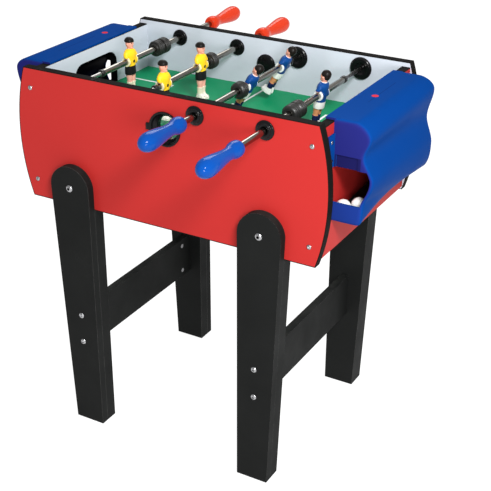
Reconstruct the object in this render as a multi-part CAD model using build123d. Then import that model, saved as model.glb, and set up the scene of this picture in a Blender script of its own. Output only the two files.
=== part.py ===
from build123d import *
import math
import os

# Children's foosball table. Millimetres, +Z up, origin on the floor under the middle of the table.
# +X is the right end, -Y the near side and +Y the far side.

# Cabinet boards
top_z = 800.0
board = 18.0
side_out_y = 215.0
side_bottom_z = 520.0
side_half_length = 330.0
side_bulge = 22.5
edging = 2.0
end_in_x = 312.0
end_top_z = 790.0
end_bottom_z = 528.0

# Playing field and goal mouths
field_z = 690.0
field_t = 6.0
batten = 18.0
mouth_half_width = 75.0
mouth_top_z = 762.0
mouth_corner = 28.0

# Legs and stretchers
leg_x = 220.0
leg_bolt_z = 565.0
leg_half_width = 47.0
leg_foot_out_x = 243.0
leg_plate = 18.0
leg_post = 28.0
stretcher_x = 212.0
stretcher_bottom_z = 189.0
stretcher_height = 97.0
stretcher_bolt_z = (204.0, 269.0)
barrel_nut_inset = 34.0

# Rods: the handle side of a rod is +u, its other side is -u, and u = 0 is the middle of the table
rod_z = 771.0
rod_x = (-222.0, -74.0, 74.0, 222.0)
tube_r = 6.5
tube_bore_r = 5.0
core_r = 4.0
running_gap = 0.05
tube_start_u = -100.0
end_cap_r = 8.5
end_cap_t = 4.0
tube_end_u = 412.0
core_start_u = -204.0
core_end_u = 120.0
core_end_gap = 0.5
core_head_length = 12.0
handle_start_u = 322.0
handle_length = 130.0
goalkeeper_bumper_u = 89.0
forward_bumper_u = 97.0
forward_u = 70.0
bumper_length = 24.0
# Where each rod stands in the photo: shift along +Y, and degrees that the feet are swung forwards
rod_shift = (0.0, -26.0, 60.0, 12.0)
rod_swing = (0.0, 0.0, 27.0, 9.0)
rod_handle_near = (False, False, True, True)

bumper_r = 17.0
bumper_neck_r = 11.0
bumper_neck_length = 4.0
bumper_edge = 1.5
# handle: distance from its inner end and radius of the mouth, the collar, the waist and the grip
handle_mouth_r = 11.0
handle_collar = (13.0, 16.0)
handle_waist = (36.0, 12.0)
handle_grip = (104.0, 18.0)

# Player figure, measured from the rod's axis
figure_top = 51.0
figure_foot = 72.0
head_height = 25.0
head_half_depth = 10.5
head_half_width = 9.5
neck_r = 5.5
neck_height = 19.0
foot_height = 15.0
foot_half_width = 11.0
foot_corner = 5.0
foot_x = (-10.0, 16.0)
# height, half depth and half width of the torso's sections, and the same after X for the legs'
torso_sections = ((-26, 10.5, 14.5), (-4, 11, 14.5), (13, 11.5, 18), (21, 9.5, 15.5), (26, 5.5, 6.5))
leg_sections = ((1, -64, 7.5, 9), (0, -24, 9, 12.5))
figure_screw_r = 1.5
figure_screw_head_r = 2.6
figure_screw_head_t = 1.4
figure_screw_seat_x = 8.6

# Wall fittings
bush_flange_r = 19.0
bush_flange_t = 3.0
bush_hub_r = 13.0
bush_hub_t = 7.0
bush_barrel_r = 12.0
bush_inside = 6.0
bush_nut_r = 18.0
bush_nut_t = 5.0
socket_r = 24.0
socket_t = 6.0
socket_dish_r = 12.0
socket_floor = 2.0
socket_depth = 10.0
entry_x = 6.0
entry_z = 731.0
entry_flange_r = 35.0
entry_flange_t = 3.0
entry_lug = 7.0
entry_cup_r = 33.0
entry_cup_depth = 8.0
entry_barrel_r = 28.0
entry_mouth_r = 31.0
entry_throat_r = 25.0
plug_x = -2.0
plug_z = 744.0
plug_r = 22.0
plug_barrel_r = 18.0
plug_dome = 8.0

# End covers
cover_top_z = 794.0
cover_top_x = 368.0
cover_lip_x = 311.0
cover_half_length = 157.0
cover_wall = 4.0
cover_rim_r = 8.0
# shoulder, waist, belly, lower belly and floor of the skin at either end of the right cover
outlet_end_skin = ((402, 764), (391, 729), (410, 684), (396, 645), (380, 592))
closed_end_skin = ((401.5, 770), (390.5, 713.5), (404, 658), (395.5, 609), (341, 598))
# the way that the skin runs at its top edge and at those five points
skin_run = ((1, 0), (0, -1), (0, -1), (0, -1), (-0.5, -0.87), (-1, 0))
cover_tab = 24.0
cover_tab_t = 3.0
cover_tab_z = (703.0, 767.0)
outlet_z = (632.0, 703.0)
outlet_rim = 1.5
recess_x = (336.0, 379.0)
recess_z = (700.0, 727.0)
recess_depth = 2.5
ramp_t = 3.0
ramp_outlet_z = 600.5
ramp_rise = 15.0
ramp_foot = 14.0
ramp_gap = 0.8

# Balls lying in the outlet of the right cover
ball_r = 15.0
ball_gap = 0.3
front_ball_xy = (368.5, -117.0)
back_ball_xy = (345.8, -137.0)

# Fasteners: how far a screw grips, or a bolt's tip stands past its nut, is counted from the board's face
screw_r = 2.0
panel_screw_x = 316.0
panel_screw_z = (560.0, 758.0)
panel_screw_head_r = 5.0
panel_screw_grip = 38.0
cover_screw_inset = 14.0
cover_screw_head_r = 3.8
cover_screw_grip = 11.0
bolt_r = 4.0
bolt_head_r = 8.0
bolt_tip = 9.0
nut_r = 7.5
nut_t = 6.5
stretcher_bolt_r = 3.0
stretcher_bolt_head_r = 6.5
stretcher_bolt_tip = 12.0
barrel_nut_r = 5.0
barrel_nut_length = 15.0

# Worked out from the above
side_in_y = side_out_y - board
end_out_x = end_in_x + board
leg_out_y = side_out_y + leg_plate
leg_in_y = side_out_y - leg_post
field_under_z = field_z - field_t
turn = Rot(0, 0, 180)


def block(x, y, z):
    size = [high - low for low, high in (x, y, z)]
    middle = [(low + high) / 2 for low, high in (x, y, z)]
    return Pos(*middle) * Box(*size)


def peg(radius, x, y, z):
    # round bar along Y
    return Pos(x, sum(y) / 2, z) * Rot(90, 0, 0) * Cylinder(radius, y[1] - y[0])


def cross_peg(radius, x, y, z):
    # round bar along X
    return Pos(sum(x) / 2, y, z) * Rot(0, 90, 0) * Cylinder(radius, x[1] - x[0])


def slab(outline, y):
    # board cut from an outline drawn in X and Z
    plane = Plane(origin=(0, y[0], 0), x_dir=(1, 0, 0), z_dir=(0, -1, 0))
    return extrude(plane * outline, amount=y[0] - y[1])


def turned(*points):
    # body of revolution about Y from a closed outline of (radius, y) points
    return revolve(make_face(Polyline(*points, close=True)), Axis.Y)


def dome(radius):
    # low round head of a screw or bolt, its seat at the origin and its crown towards -Y
    height = 0.54 * radius
    shoulder, crown = (0.86 * radius, -0.6 * height), (0.5 * radius, -0.93 * height)
    return turned((0, 0), (radius, 0), shoulder, crown, (0, -height))


def group(pieces):
    return Compound(children=list(pieces))


def far_copy(piece):
    return mirror(piece, about=Plane.XZ)


def left_copy(piece):
    return mirror(piece, about=Plane.YZ)


# Cabinet
def side_outline(inset):
    # flat top and bottom, ends bowed out on one large arc
    half_height = (top_z - side_bottom_z) / 2
    middle_z = side_bottom_z + half_height
    arc_r = (half_height ** 2 + side_bulge ** 2) / (2 * side_bulge)
    arc_x = side_half_length + side_bulge - arc_r
    high = half_height - inset
    corner = arc_x + math.sqrt((arc_r - inset) ** 2 - high ** 2)
    bow = arc_x + arc_r - inset
    edges = [
        Line((-corner, middle_z + high), (corner, middle_z + high)),
        ThreePointArc((corner, middle_z + high), (bow, middle_z), (corner, middle_z - high)),
        Line((corner, middle_z - high), (-corner, middle_z - high)),
        ThreePointArc((-corner, middle_z - high), (-bow, middle_z), (-corner, middle_z + high)),
    ]
    return make_face(edges)


def side_panel():
    # drawn as the near one: rods 3 and 4 leave through it, rods 1 and 2 end in blind sockets on its inside
    inside, outside = -side_in_y, -side_out_y
    panel = slab(side_outline(edging), (outside, inside))
    for x in rod_x[2:]:
        panel -= peg(bush_barrel_r, x, (outside, inside), rod_z)
    for x in rod_x[:2]:
        panel -= peg(bush_barrel_r, x, (inside - socket_depth, inside), rod_z)
    for side in (-1, 1):
        panel -= peg(bolt_r, side * leg_x, (outside, inside), leg_bolt_z)
        for z in panel_screw_z:
            panel -= peg(screw_r, side * panel_screw_x, (outside, inside), z)
    return panel


def near_panel():
    panel = side_panel() - peg(entry_barrel_r, entry_x, (-side_out_y, -side_in_y), entry_z)
    return panel - peg(entry_cup_r, entry_x, (-side_out_y, entry_cup_depth - side_out_y), entry_z)


def far_panel():
    return turn * side_panel() - peg(plug_barrel_r, plug_x, (side_in_y, side_out_y), plug_z)


def side_edging():
    rim = side_outline(0) - side_outline(edging)
    return slab(rim, (-side_out_y, -side_in_y))


def mouth_outline():
    # square at the field, round at the top corners
    height = mouth_top_z - field_z
    mouth = Pos(0, field_z + height / 2) * Rectangle(2 * mouth_half_width, height)
    return fillet(mouth.vertices().group_by(Axis.Y)[-1], mouth_corner)


def right_end_board():
    panel = block((end_in_x, end_out_x), (-side_in_y, side_in_y), (end_bottom_z, end_top_z - edging))
    opening = Plane(origin=(end_in_x, 0, 0), x_dir=(0, 1, 0), z_dir=(1, 0, 0)) * mouth_outline()
    panel -= extrude(opening, amount=board)
    for y in (-1, 1):
        for z in panel_screw_z:
            hole = sorted((y * (side_in_y - panel_screw_grip), y * side_in_y))
            panel -= peg(screw_r, panel_screw_x, hole, z)
        for z in cover_screw_z():
            panel -= cross_peg(screw_r, (end_out_x - cover_screw_grip, end_out_x), y * cover_screw_y(), z)
    return panel


def end_edging():
    return block((end_in_x, end_out_x), (-side_in_y, side_in_y), (end_top_z - edging, end_top_z))


def field_board():
    return block((-end_in_x, end_in_x), (-side_in_y, side_in_y), (field_under_z, field_z))


def field_supports():
    low = field_under_z - batten
    long_one = block((-end_in_x, end_in_x), (-side_in_y, batten - side_in_y), (low, field_under_z))
    inner_y = side_in_y - batten
    short_one = block((end_in_x - batten, end_in_x), (-inner_y, inner_y), (low, field_under_z))
    return group([long_one, far_copy(long_one), short_one, left_copy(short_one)])


def panel_screws():
    # domed wood screws through the side panels into the edges of the end panels
    screws = []
    for z in panel_screw_z:
        head = Pos(panel_screw_x, -side_out_y, z) * dome(panel_screw_head_r)
        shank = peg(screw_r, panel_screw_x, (-side_out_y, panel_screw_grip - side_in_y), z)
        screws.append(head + shank)
    screws += [left_copy(screw) for screw in screws]
    screws += [far_copy(screw) for screw in screws]
    return group(screws)


# Legs
def leg_touch():
    # where the slanted outer edge, drawn up from the foot, touches the round top
    foot = (leg_foot_out_x - leg_x, -leg_bolt_z)
    angle = math.atan2(foot[1], foot[0]) + math.acos(leg_half_width / math.hypot(*foot))
    return leg_x + leg_half_width * math.cos(angle), leg_bolt_z + leg_half_width * math.sin(angle)


def leg_plate_board():
    # outer board with a full round top, lapped over the side panel
    inner_x = leg_x - leg_half_width
    edges = [
        Line((inner_x, 0), (inner_x, leg_bolt_z)),
        ThreePointArc((inner_x, leg_bolt_z), (leg_x, leg_bolt_z + leg_half_width), leg_touch()),
        Line(leg_touch(), (leg_foot_out_x, 0)),
        Line((leg_foot_out_x, 0), (inner_x, 0)),
    ]
    plate = slab(make_face(edges), (-leg_out_y, -side_out_y))
    plate -= peg(bolt_r, leg_x, (-leg_out_y, -side_out_y), leg_bolt_z)
    for z in stretcher_bolt_z:
        plate -= peg(stretcher_bolt_r, stretcher_x, (-leg_out_y, -side_out_y), z)
    return plate


def leg_post_board():
    # thicker inner board that stops under the side panel and carries it
    inner_x = leg_x - leg_half_width
    touch_x, touch_z = leg_touch()
    shoulder_x = leg_foot_out_x + (touch_x - leg_foot_out_x) * side_bottom_z / touch_z
    outline = Polyline(
        (inner_x, 0), (inner_x, side_bottom_z), (shoulder_x, side_bottom_z), (leg_foot_out_x, 0), close=True,
    )
    post = slab(make_face(outline), (-side_out_y, -leg_in_y))
    for z in stretcher_bolt_z:
        post -= peg(stretcher_bolt_r, stretcher_x, (-side_out_y, -leg_in_y), z)
    return post


def right_stretcher_board():
    half = board / 2
    z = (stretcher_bottom_z, stretcher_bottom_z + stretcher_height)
    bar = block((stretcher_x - half, stretcher_x + half), (-leg_in_y, leg_in_y), z)
    for side in (-1, 1):
        for bolt_z in stretcher_bolt_z:
            bore = sorted((side * leg_in_y, side * (leg_in_y - barrel_nut_inset - stretcher_bolt_tip)))
            bar -= peg(stretcher_bolt_r, stretcher_x, bore, bolt_z)
            bar -= barrel(side, bolt_z)
    return bar


def barrel(side, z):
    # cross-drilled nut, put in from the face that looks to the middle of the table
    inner_x = stretcher_x - board / 2
    y = side * (leg_in_y - barrel_nut_inset)
    return cross_peg(barrel_nut_r, (inner_x, inner_x + barrel_nut_length), y, z)


def barrel_nuts():
    nuts = []
    for side in (-1, 1):
        for z in stretcher_bolt_z:
            bolt_y = sorted((side * leg_in_y, 0))
            nuts.append(barrel(side, z) - peg(stretcher_bolt_r, stretcher_x, bolt_y, z))
    return group(nuts + [left_copy(nut) for nut in nuts])


def stretcher_bolts():
    bolts = []
    for z in stretcher_bolt_z:
        head = Pos(stretcher_x, -leg_out_y, z) * dome(stretcher_bolt_head_r)
        tip = barrel_nut_inset + stretcher_bolt_tip - leg_in_y
        bolts.append(head + peg(stretcher_bolt_r, stretcher_x, (-leg_out_y, tip), z))
    bolts += [left_copy(bolt) for bolt in bolts]
    return group(bolts + [far_copy(bolt) for bolt in bolts])


def leg_bolts():
    # one bolt and nut for each leg, through the plate and the side panel
    head = Pos(leg_x, -leg_out_y, leg_bolt_z) * dome(bolt_head_r)
    bolt = head + peg(bolt_r, leg_x, (-leg_out_y, bolt_tip - side_in_y), leg_bolt_z)
    hexagon = Pos(leg_x, leg_bolt_z) * (RegularPolygon(nut_r, 6) - Circle(bolt_r))
    nut = slab(hexagon, (-side_in_y, nut_t - side_in_y))
    pieces = [bolt, nut]
    pieces += [left_copy(piece) for piece in pieces]
    return group(pieces + [far_copy(piece) for piece in pieces])


# End covers
def cover_screw_y():
    return cover_half_length + cover_tab / 2


def cover_screw_z():
    low, high = cover_tab_z
    return low + cover_screw_inset, high - cover_screw_inset


def cover_section(y, inset):
    # skin of the right cover in X and Z: flat top, soft shoulder, waist, belly and floor
    share = (y + cover_half_length) / (2 * cover_half_length)
    skin = [
        (near[0] + (far[0] - near[0]) * share - inset, near[1] + (far[1] - near[1]) * share)
        for near, far in zip(outlet_end_skin, closed_end_skin)
    ]
    floor = (skin[-1][0], skin[-1][1] + inset)
    top = (cover_top_x - inset, cover_top_z - inset)
    edges = [
        Line((end_out_x, top[1]), top),
        Spline(top, *skin[:-1], floor, tangents=skin_run),
        Line(floor, (end_out_x, floor[1])),
        Line((end_out_x, floor[1]), (end_out_x, top[1])),
    ]
    plane = Plane(origin=(0, y, 0), x_dir=(1, 0, 0), z_dir=(0, -1, 0))
    return plane * make_face(edges)


def cover_body():
    # both end rims are rounded in two steps
    steps = [(0, cover_rim_r), (0.29 * cover_rim_r, 0.29 * cover_rim_r), (cover_rim_r, 0)]
    near = [cover_section(back - cover_half_length, inset) for back, inset in steps]
    far = [cover_section(cover_half_length - back, inset) for back, inset in reversed(steps)]
    return loft(near + far, ruled=True)


def cover_hollow(gap):
    inset = cover_wall + gap
    length = cover_half_length - inset
    return loft([cover_section(-length, inset), cover_section(length, inset)], ruled=True)


def right_cover():
    # moulded shell, open to the end panel and with the ball outlet in its near end
    shell = cover_body() - cover_hollow(0)
    rim = cover_wall + outlet_rim
    through = [cover_section(y - cover_half_length, rim) for y in (-cover_wall, 2 * cover_wall)]
    window = loft(through, ruled=True) & block((end_out_x, 2 * end_out_x), (-side_in_y, 0), outlet_z)
    shell -= window
    shell -= block(recess_x, (-side_in_y, recess_depth - cover_half_length), recess_z)
    lip_y = (-cover_half_length, cover_half_length)
    shell += block((cover_lip_x, end_out_x), lip_y, (end_top_z, cover_top_z))
    for side in (-1, 1):
        tab_y = sorted((side * (cover_half_length - cover_wall), side * (cover_half_length + cover_tab)))
        shell += block((end_out_x, end_out_x + cover_tab_t), tab_y, cover_tab_z)
        for z in cover_screw_z():
            shell -= cross_peg(screw_r, (end_out_x, end_out_x + cover_tab_t), side * cover_screw_y(), z)
    return shell


def cover_screws():
    screws = []
    face_x = end_out_x + cover_tab_t
    for side in (-1, 1):
        for z in cover_screw_z():
            head = Pos(face_x, side * cover_screw_y(), z) * Rot(0, 0, 90) * dome(cover_screw_head_r)
            shank = cross_peg(screw_r, (end_out_x - cover_screw_grip, face_x), side * cover_screw_y(), z)
            screws.append(head + shank)
    return group(screws + [turn * screw for screw in screws])


def ramp_top(y):
    return ramp_outlet_z + ramp_rise * (y + cover_half_length) / (2 * cover_half_length)


def right_ramp():
    # sloped floor inside the cover that brings the ball to the outlet, on a foot at its high end
    low_y, high_y = -cover_half_length, cover_half_length
    section = Polyline(
        (low_y, ramp_top(low_y) - ramp_t), (low_y, ramp_top(low_y)), (high_y, ramp_top(high_y)),
        (high_y, 0), (high_y - ramp_foot, 0), (high_y - ramp_foot, ramp_top(high_y - ramp_foot) - ramp_t),
        close=True,
    )
    plane = Plane(origin=(end_out_x, 0, 0), x_dir=(0, 1, 0), z_dir=(1, 0, 0))
    return extrude(plane * make_face(section), amount=end_out_x) & cover_hollow(ramp_gap)


def ball(x, y):
    slope = math.atan2(ramp_rise, 2 * cover_half_length)
    return Pos(x, y, ramp_top(y) + ball_r / math.cos(slope) + ball_gap) * Sphere(ball_r)


# Wall fittings of the rods, in the rod's own frame: the axis is Y and the handle side is +Y
def bush():
    # flanged bush from outside, and the ring nut that holds it from inside
    bore = tube_r + running_gap
    face, back = side_out_y, side_in_y
    body = turned(
        (bore, back - bush_inside), (bush_barrel_r, back - bush_inside), (bush_barrel_r, face),
        (bush_flange_r, face), (bush_flange_r, face + bush_flange_t),
        (bush_hub_r + 1, face + 1.5 * bush_flange_t), (bush_hub_r, face + bush_hub_t), (bore, face + bush_hub_t),
    )
    nut = turned(
        (bush_barrel_r, back - bush_nut_t), (bush_nut_r - 2, back - bush_nut_t),
        (bush_nut_r, back - bush_flange_t), (bush_nut_r, back), (bush_barrel_r, back),
    )
    return [body, nut]


def socket():
    # dished rosette with a blind bearing for the inner rod
    bore = core_r + running_gap
    wall = -side_in_y
    return turned(
        (0, wall - socket_depth), (bush_barrel_r, wall - socket_depth), (bush_barrel_r, wall),
        (socket_r, wall), (socket_r, wall + socket_t / 2), (socket_r - 3, wall + socket_t),
        (socket_dish_r, wall + socket_t), (socket_dish_r - 3, wall + socket_floor), (bore, wall + socket_floor),
        (bore, core_start_u - core_end_gap), (0, core_start_u - core_end_gap),
    )


def ball_entry():
    # funnel with a small lug, let into a side panel from outside
    inner_end = board + entry_flange_t
    funnel = turned(
        (entry_mouth_r, -entry_flange_t), (entry_flange_r, -entry_flange_t), (entry_flange_r, 0),
        (entry_cup_r, 0), (entry_cup_r, entry_cup_depth), (entry_barrel_r, entry_cup_depth),
        (entry_barrel_r, inner_end), (entry_throat_r, inner_end), (entry_throat_r, entry_cup_depth + 1),
    )
    lug_x = (-entry_flange_r - entry_lug, -entry_cup_r)
    funnel += block(lug_x, (-entry_flange_t, 0), (-entry_lug, entry_lug))
    return Pos(entry_x, -side_out_y, entry_z) * funnel


def hole_plug():
    # domed plug pressed into the far panel from inside
    face = side_in_y
    rim, crown = (0.8 * plug_r, face - 0.6 * plug_dome), (0.45 * plug_r, face - 0.9 * plug_dome)
    plug = turned(
        (0, side_out_y), (plug_barrel_r, side_out_y), (plug_barrel_r, face), (plug_r, face),
        (plug_r, face - 0.2 * plug_dome), rim, crown, (0, face - plug_dome),
    )
    return Pos(plug_x, 0, plug_z) * plug


# Rods, in the rod's own frame and at mid stroke
def core():
    # inner rod, with a head that runs in the tube and keeps it from coming off
    head = tube_bore_r - running_gap
    return turned(
        (0, core_start_u), (core_r, core_start_u), (core_r, core_end_u - core_head_length),
        (head, core_end_u - core_head_length), (head, core_end_u), (0, core_end_u),
    )


def tube(players):
    pipe = peg(tube_r, 0, (tube_start_u, tube_end_u), 0) - peg(tube_bore_r, 0, (tube_start_u, tube_end_u), 0)
    for u in players:
        pipe -= cross_peg(figure_screw_r, (0, 2 * tube_r), u, 0)
    return pipe


def handle():
    # round collar, waist and a swelling grip with a round end
    base, end = handle_start_u, handle_start_u + handle_length
    bore = tube_r + running_gap
    rings = [(radius, base + along) for along, radius in (handle_collar, handle_waist, handle_grip)]
    run = [(1, 0.3), (0, 1), (0, 1), (0, 1), (-1, 0)]
    edges = [
        Line((bore, base), (handle_mouth_r, base)),
        Spline((handle_mouth_r, base), *rings, (0, end), tangents=run),
        Polyline((0, end), (0, tube_end_u + 1), (bore, tube_end_u + 1), (bore, base)),
    ]
    return revolve(make_face(edges), Axis.Y)


def bumper(u):
    # rubber stop: thin neck and a thick barrel with soft edges
    bore = tube_r + running_gap
    start, end = u + bumper_neck_length, u + bumper_length
    low, high = start + bumper_edge, end - bumper_edge
    edge_r = bumper_r - bumper_edge
    return turned(
        (bore, u), (bumper_neck_r, u), (bumper_neck_r, start), (edge_r, start), (bumper_r, low),
        (bumper_r, high), (edge_r, end), (bore, end),
    )


def end_cap():
    # plastic cap on the tube's open end, with the guide for the inner rod
    guide = core_r + running_gap
    sleeve = tube_r + running_gap
    start = tube_start_u
    return turned(
        (guide, start - end_cap_t), (end_cap_r - 1, start - end_cap_t), (end_cap_r, start - end_cap_t + 1),
        (end_cap_r, start + 2 * end_cap_t), (sleeve, start + 2 * end_cap_t), (sleeve, start), (guide, start),
    )


def figure(u):
    # player moulded in one piece, facing +X, clamped on the tube through the belly
    torso = loft([Pos(0, 0, z) * Ellipse(depth, width) for z, depth, width in torso_sections])
    legs = loft([Pos(x, 0, z) * Ellipse(depth, width) for x, z, depth, width in leg_sections])
    foot = block(foot_x, (-foot_half_width, foot_half_width), (-figure_foot, foot_height - figure_foot))
    foot = fillet(foot.edges().filter_by(Axis.Z), foot_corner)
    head_z = figure_top - head_height / 2
    neck = Pos(0, 0, head_z - neck_height / 2) * Cylinder(neck_r, neck_height)
    head = Pos(0, 0, head_z) * scale(Sphere(1), by=(head_half_depth, head_half_width, head_height / 2))
    body = torso + legs + foot + neck + head
    body -= peg(tube_r + running_gap, 0, (-figure_top, figure_top), 0)
    body -= cross_peg(figure_screw_r, (0, figure_top), 0, 0)
    body -= cross_peg(figure_screw_head_r, (figure_screw_seat_x, figure_top), 0, 0)
    return Pos(0, u, 0) * body


def figure_screw(u):
    shank = cross_peg(figure_screw_r, (tube_bore_r + running_gap, figure_screw_seat_x), u, 0)
    head = (figure_screw_seat_x, figure_screw_seat_x + figure_screw_head_t)
    return shank + cross_peg(figure_screw_head_r, head, u, 0)


def on_rod(index, piece, slides=True):
    # into the table: near-side handles are turned round, then the rod is shifted and swung as it stands
    shift = rod_shift[index] if slides else 0
    facing = turn if rod_handle_near[index] else Rot(0, 0, 0)
    return Pos(rod_x[index], shift, rod_z) * facing * Rot(0, -rod_swing[index], 0) * piece


def cabinet_parts():
    near_edging = side_edging()
    end_board = right_end_board()
    cover = right_cover()
    ramp = right_ramp()
    top_strip = end_edging()
    bushes = [on_rod(i, half, False) for i in range(4) for half in bush()]
    sockets = [on_rod(i, socket(), False) for i in range(4)]
    return {
        "near_side_panel": near_panel(),
        "far_side_panel": far_panel(),
        "side_panel_edgings": group([near_edging, far_copy(near_edging)]),
        "right_end_panel": end_board,
        "left_end_panel": turn * end_board,
        "end_panel_edgings": group([top_strip, turn * top_strip]),
        "playing_field": field_board(),
        "field_battens": field_supports(),
        "panel_screws": panel_screws(),
        "right_end_cover": cover,
        "left_end_cover": turn * cover,
        "cover_screws": cover_screws(),
        "right_ball_ramp": ramp,
        "left_ball_ramp": turn * ramp,
        "rod_bushes": group(bushes),
        "rod_sockets": group(sockets),
        "near_ball_entry": ball_entry(),
        "far_hole_plug": hole_plug(),
    }


def leg_parts():
    plate = leg_plate_board()
    post = leg_post_board()
    stretcher = right_stretcher_board()
    return {
        "near_right_leg_plate": plate,
        "near_left_leg_plate": left_copy(plate),
        "far_right_leg_plate": far_copy(plate),
        "far_left_leg_plate": turn * plate,
        "near_right_leg_post": post,
        "near_left_leg_post": left_copy(post),
        "far_right_leg_post": far_copy(post),
        "far_left_leg_post": turn * post,
        "right_stretcher": stretcher,
        "left_stretcher": left_copy(stretcher),
        "leg_bolts": leg_bolts(),
        "stretcher_bolts": stretcher_bolts(),
        "barrel_nuts": barrel_nuts(),
    }


def rod_parts(index, name, players, stops):
    pieces = {
        f"{name}_core": on_rod(index, core(), False),
        f"{name}_tube": on_rod(index, tube(players.values())),
        f"{name}_handle": on_rod(index, handle()),
        f"{name}_stops": group([on_rod(index, end_cap())] + [on_rod(index, bumper(u)) for u in stops]),
        f"{name}_player_screws": group([on_rod(index, figure_screw(u)) for u in players.values()]),
    }
    for player, u in players.items():
        pieces[player] = on_rod(index, figure(u))
    return pieces


def all_parts():
    parts = cabinet_parts() | leg_parts()
    pair = [goalkeeper_bumper_u, goalkeeper_bumper_u + bumper_length]
    parts |= rod_parts(0, "yellow_goal_rod", {"yellow_goalkeeper": 0}, pair)
    yellow = {"yellow_near_forward": -forward_u, "yellow_far_forward": forward_u}
    parts |= rod_parts(1, "yellow_forward_rod", yellow, [forward_bumper_u])
    blue = {"blue_near_forward": forward_u, "blue_far_forward": -forward_u}
    parts |= rod_parts(2, "blue_forward_rod", blue, [forward_bumper_u])
    parts |= rod_parts(3, "blue_goal_rod", {"blue_goalkeeper": 0}, pair)
    parts["front_ball"] = ball(*front_ball_xy)
    parts["back_ball"] = ball(*back_ball_xy)
    return parts


os.makedirs("parts", exist_ok=True)
for node, shape in all_parts().items():
    export_step(shape, f"parts/{node}.step")
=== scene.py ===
import math
from functools import partial
from itertools import product

import bmesh
import bpy
from mathutils import Matrix, Vector
from mathutils.bvhtree import BVHTree


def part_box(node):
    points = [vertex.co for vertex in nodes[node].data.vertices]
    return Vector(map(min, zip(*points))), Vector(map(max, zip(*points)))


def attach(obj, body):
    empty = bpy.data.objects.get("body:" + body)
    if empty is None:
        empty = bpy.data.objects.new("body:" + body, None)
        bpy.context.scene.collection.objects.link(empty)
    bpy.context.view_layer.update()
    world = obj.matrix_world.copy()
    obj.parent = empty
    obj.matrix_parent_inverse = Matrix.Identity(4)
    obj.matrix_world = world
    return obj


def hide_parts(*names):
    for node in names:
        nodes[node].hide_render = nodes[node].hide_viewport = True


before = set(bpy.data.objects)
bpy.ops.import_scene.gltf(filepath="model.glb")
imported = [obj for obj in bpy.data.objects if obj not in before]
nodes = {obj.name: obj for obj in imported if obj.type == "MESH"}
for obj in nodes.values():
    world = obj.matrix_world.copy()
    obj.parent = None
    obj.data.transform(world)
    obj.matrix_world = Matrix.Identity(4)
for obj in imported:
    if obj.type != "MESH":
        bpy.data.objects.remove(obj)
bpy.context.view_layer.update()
mm = 0.001
rods = ["yellow_goal_rod", "yellow_forward_rod", "blue_forward_rod", "blue_goal_rod"]
print("frame loaded:", len(nodes), "nodes")


# small helpers for node trees
def feed(tree, target, source):
    # a socket is linked, anything else is set as the socket's own value
    if isinstance(source, bpy.types.NodeSocket):
        tree.links.new(source, target)
    else:
        target.default_value = source


def addNode(tree, kind, inputs=(), **settings):
    node = tree.nodes.new(kind)
    for key, value in settings.items():
        setattr(node, key, value)
    for key, value in dict(inputs).items():
        feed(tree, node.inputs[key], value)
    return node


def maths(tree, operation, *values):
    return addNode(tree, "ShaderNodeMath", enumerate(values), operation=operation).outputs[0]


def times(tree, first, *others):
    for other in others:
        first = maths(tree, "MULTIPLY", first, other)
    return first


def blendColour(tree, factor, low, high, mode="MIX"):
    inputs = {0: factor, 6: low, 7: high}
    return addNode(tree, "ShaderNodeMix", inputs, data_type="RGBA", blend_type=mode).outputs[2]


def spread(tree, value, low, high, lowOut=0.0, highOut=1.0):
    return addNode(tree, "ShaderNodeMapRange", enumerate((value, low, high, lowOut, highOut))).outputs[0]


def noise(tree, vector, scale, detail=4.0):
    inputs = {"Vector": vector, "Scale": scale, "Detail": detail, "Roughness": 0.55}
    return addNode(tree, "ShaderNodeTexNoise", inputs).outputs[0]


def objectPlace(tree):
    return addNode(tree, "ShaderNodeTexCoord").outputs["Object"]


def surface(tree, label):
    return addNode(tree, "ShaderNodeNewGeometry").outputs[label]


def attribute(tree, name, label="Fac"):
    return addNode(tree, "ShaderNodeAttribute", attribute_name=name).outputs[label]


def onAxis(tree, vector, axis):
    return addNode(tree, "ShaderNodeSeparateXYZ", {0: vector}).outputs[axis]


def joinUp(tree, **parts):
    return addNode(tree, "ShaderNodeCombineXYZ", parts).outputs[0]


def geometry(tree, kind, inputs, output="Geometry", **settings):
    return addNode(tree, "GeometryNode" + kind, inputs, **settings).outputs[output]


def newGroup(name, kind, inputs, outputs):
    # a socket's kind follows from its first value, or from its label where it has none
    tree = bpy.data.node_groups.new(name, kind)
    kinds = {float: "Float", int: "Int", tuple: "Color", Vector: "Vector"}
    for label, value in inputs.items():
        socketType = "NodeSocket" + kinds.get(type(value), label)
        socket = tree.interface.new_socket(label, in_out="INPUT", socket_type=socketType)
        if value is not None:
            socket.default_value = value
    for label, socketType in outputs.items():
        tree.interface.new_socket(label, in_out="OUTPUT", socket_type="NodeSocket" + socketType)
    return tree, addNode(tree, "NodeGroupInput").outputs, addNode(tree, "NodeGroupOutput").inputs


# effects that several finishes share
white = (1, 1, 1, 1)
effectLook = {
    "mottleBand": (0.3, 0.7), "mottleDark": (0.55, 0.55, 0.55, 1), "scuffLine": 0.02,
    "scuffPatch": (0.58, 0.7), "patchScale": 9.0, "dustUp": (0.35, 0.95), "dustCloud": (0.35, 0.75),
    "cloudScale": 35.0, "cloudDetail": 6.0, "dustColour": (0.62, 0.6, 0.57, 1),
}


def mottleGroup(look):
    inputs = {"Color": white, "Scale": 20.0, "Amount": 0.1}
    tree, start, end = newGroup("mottle", "ShaderNodeTree", inputs, {"Color": "Color", "Value": "Float"})
    value = spread(tree, noise(tree, objectPlace(tree), start["Scale"]), *look["mottleBand"])
    dark = blendColour(tree, 1.0, start["Color"], look["mottleDark"], "MULTIPLY")
    share = times(tree, value, start["Amount"])
    feed(tree, end["Color"], blendColour(tree, share, start["Color"], dark))
    feed(tree, end["Value"], value)
    return tree


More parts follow.
